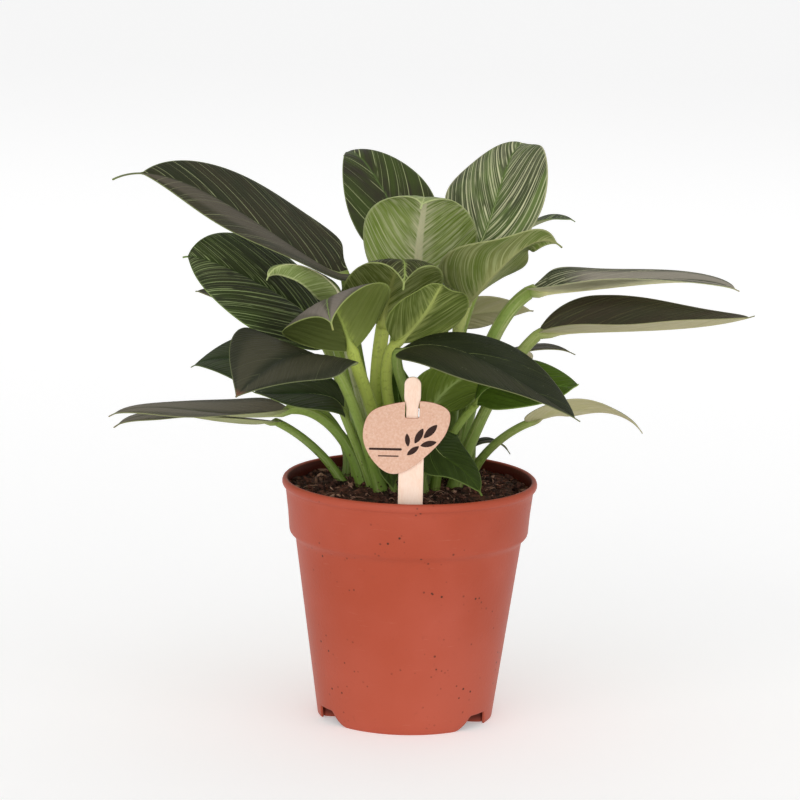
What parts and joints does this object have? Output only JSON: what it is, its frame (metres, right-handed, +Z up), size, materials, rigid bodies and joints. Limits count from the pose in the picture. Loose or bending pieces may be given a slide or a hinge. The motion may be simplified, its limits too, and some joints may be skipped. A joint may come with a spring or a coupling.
{
  "type": "potted birkin philodendron",
  "caption": "House plant with long pointed leaves striped in cream, growing on thin stalks from a filled plastic nursery pot, with a wooden plant stick and a card tag.",
  "frame": {"origin": "on the surface the pot stands on, under the middle of the whole plant's box; the pot's axis stands at x -8 mm, y -11.6 mm", "axes": "+Z up, -Y is the front that carries the tag, +X is to the right seen from the front and is the plant's widest spread"},
  "size_m": [0.2969, 0.2216, 0.2652],
  "materials": {
    "pot_plastic": "satin",
    "soil": "matte",
    "stem": "satin",
    "stick_wood": "matte",
    "tag_card": "matte",
    "leaf_dark": "satin",
    "leaf_fresh": "satin",
    "leaf_young": "satin"
  },
  "bodies": {
    "root": {"pot": "pot_plastic", "soil": "soil", "stem_left": "stem", "plant_stick": "stick_wood", "card_tag": "tag_card", "leaf_upper_left": "leaf_dark", "leaf_left_broad": "leaf_dark", "leaf_left_rolled": "leaf_young", "leaf_left_behind": "leaf_dark", "leaf_front_folded": "leaf_dark", "leaf_centre_hood": "leaf_fresh", "leaf_top_young": "leaf_young", "leaf_top_left": "leaf_dark", "leaf_top_right": "leaf_fresh", "leaf_right_slim": "leaf_dark", "leaf_right_arching": "leaf_fresh", "leaf_centre_low": "leaf_fresh", "leaf_right_upper": "leaf_dark", "leaf_right_lower": "leaf_dark", "leaf_right_narrow": "leaf_dark", "leaf_front_right": "leaf_dark", "leaf_front_right_under": "leaf_fresh", "leaf_low_right": "leaf_dark", "leaf_low_right_small": "leaf_dark", "leaf_front_left": "leaf_dark", "leaf_left_shaded": "leaf_dark", "leaf_front_left_under": "leaf_fresh", "leaf_low_left_outer": "leaf_dark", "leaf_low_left_inner": "leaf_dark", "leaf_front_behind_tag": "leaf_fresh", "leaf_front_drooping": "leaf_fresh", "leaf_centre_sheath": "leaf_young", "leaf_centre_right": "leaf_fresh", "leaf_right_pale": "leaf_young", "leaf_back_high": "leaf_dark", "leaf_back_left": "leaf_dark", "leaf_back_right": "leaf_dark", "leaf_back_low": "leaf_dark"}
  },
  "joints": []
}
